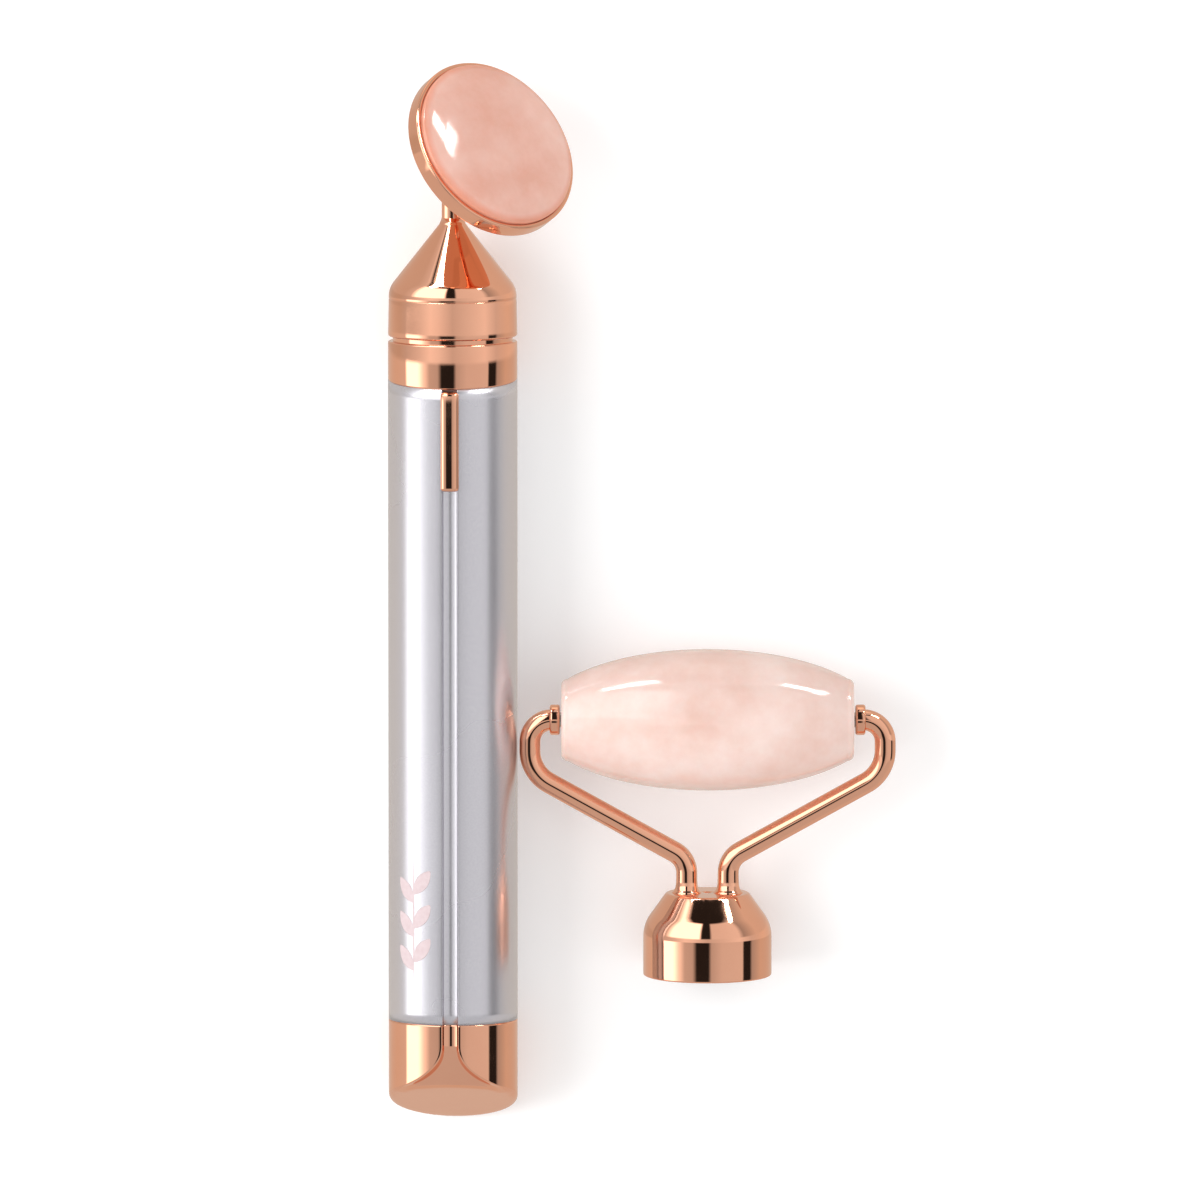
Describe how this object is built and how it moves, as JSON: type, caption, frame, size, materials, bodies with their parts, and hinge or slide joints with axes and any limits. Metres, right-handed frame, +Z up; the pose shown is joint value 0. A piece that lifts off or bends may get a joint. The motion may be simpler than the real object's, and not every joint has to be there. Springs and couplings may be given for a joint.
{
  "type": "vibrating facial massage wand with spare roller head",
  "caption": "Battery facial massage wand with a round rose quartz head on a bent neck, lying beside a spare roller head with a barrel-shaped stone in a wire fork.",
  "frame": {"origin": "middle of the footprint, on the table that the wand and the spare head lie on", "axes": "+Y along the wand from its slanted end to the massage head, +Z up, +X towards the spare roller head"},
  "size_m": [0.0746, 0.1566, 0.0269],
  "materials": {
    "lacquered_tube": "satin pearl lacquer on drawn aluminium",
    "rose_gold": "polished rose gold plating on zinc alloy",
    "rose_quartz": "polished rose quartz",
    "pale_rose_quartz": "polished pale rose quartz",
    "black_plastic": "moulded ABS",
    "white_plastic": "moulded acetal",
    "brass": "turned brass",
    "contact_steel": "nickel plated steel",
    "sintered_weight": "sintered",
    "copper_winding": "enamelled copper wire",
    "circuit_board": "green solder mask on glass-epoxy board",
    "cell_jacket": "plain printed jacket",
    "rubber": "moulded silicone rubber",
    "clear_glue": "cured epoxy"
  },
  "bodies": {
    "handle": {"handle_tube": "lacquered_tube", "top_collar": "rose_gold", "head_spigot": "rose_gold", "battery_liner": "white_plastic", "battery_can": "cell_jacket", "battery_positive_cap": "contact_steel", "positive_contact_plate": "contact_steel", "positive_lead_strip": "brass", "circuit_board": "circuit_board", "switch_base": "black_plastic", "motor_lead_strips": "brass", "motor_can": "contact_steel", "motor_end_plate": "white_plastic"},
    "motor_rotor": {"motor_shaft": "contact_steel", "motor_armature": "copper_winding", "eccentric_weight": "sintered_weight"},
    "switch_slider": {"slider_bar": "rose_gold", "slider_carriage": "black_plastic", "switch_knob": "white_plastic"},
    "cap_seal_ring": {"cap_seal": "rubber"},
    "end_cap": {"end_cap": "rose_gold", "end_cap_insert": "brass", "cap_contact_plate": "contact_steel", "contact_spring": "contact_steel"},
    "spigot_seal_ring": {"spigot_seal": "rubber"},
    "massage_head": {"head_cone": "rose_gold", "head_socket_insert": "black_plastic", "neck_stem": "rose_gold", "stone_cup": "rose_gold", "stone_bedding": "clear_glue", "massage_stone": "rose_quartz"},
    "roller_head": {"roller_head_collar": "rose_gold", "roller_socket_insert": "black_plastic", "fork_arm_left": "rose_gold", "fork_arm_right": "rose_gold", "ferrule_left": "rose_gold", "ferrule_right": "rose_gold", "axle_pin_left": "contact_steel", "axle_pin_right": "contact_steel"},
    "roller": {"roller_stone": "pale_rose_quartz", "roller_bush_left": "white_plastic", "roller_bush_right": "white_plastic"}
  },
  "joints": [
    {"name": "rotor_spin", "type": "hinge", "parent": "handle", "child": "motor_rotor", "pos_m": [-0.02777, 0.04039, 0.0095], "axis": [0, 1, 0], "continuous": true},
    {"name": "switch_slide", "type": "slide", "parent": "handle", "child": "switch_slider", "axis": [0, -1, 0], "range_m": [0, 0.003]},
    {"name": "cap_travel", "type": "slide", "parent": "handle", "child": "cap_seal_ring", "axis": [0, -1, 0], "range_m": [0, 0.006]},
    {"name": "cap_turn", "type": "hinge", "parent": "cap_seal_ring", "child": "end_cap", "pos_m": [-0.02777, -0.06261, 0.0095], "axis": [0, -1, 0], "range_deg": [0, 1440]},
    {"name": "head_turn", "type": "hinge", "parent": "handle", "child": "spigot_seal_ring", "pos_m": [-0.02777, 0.04279, 0.0095], "axis": [0, 1, 0], "continuous": true},
    {"name": "head_pull", "type": "slide", "parent": "spigot_seal_ring", "child": "massage_head", "axis": [0, 1, 0], "range_m": [0, 0.012]},
    {"name": "roller_head_lift", "type": "slide", "parent": "handle", "child": "roller_head", "axis": [0, 0, 1], "range_m": [0, 0.05]},
    {"name": "roller_spin", "type": "hinge", "parent": "roller_head", "child": "roller", "pos_m": [0.00962, -0.01842, 0.01042], "axis": [1, 0, 0], "continuous": true}
  ],
  "couplings": [
    {"joint": "cap_turn", "follows": "cap_travel", "rad_per_m": 4188.8}
  ]
}
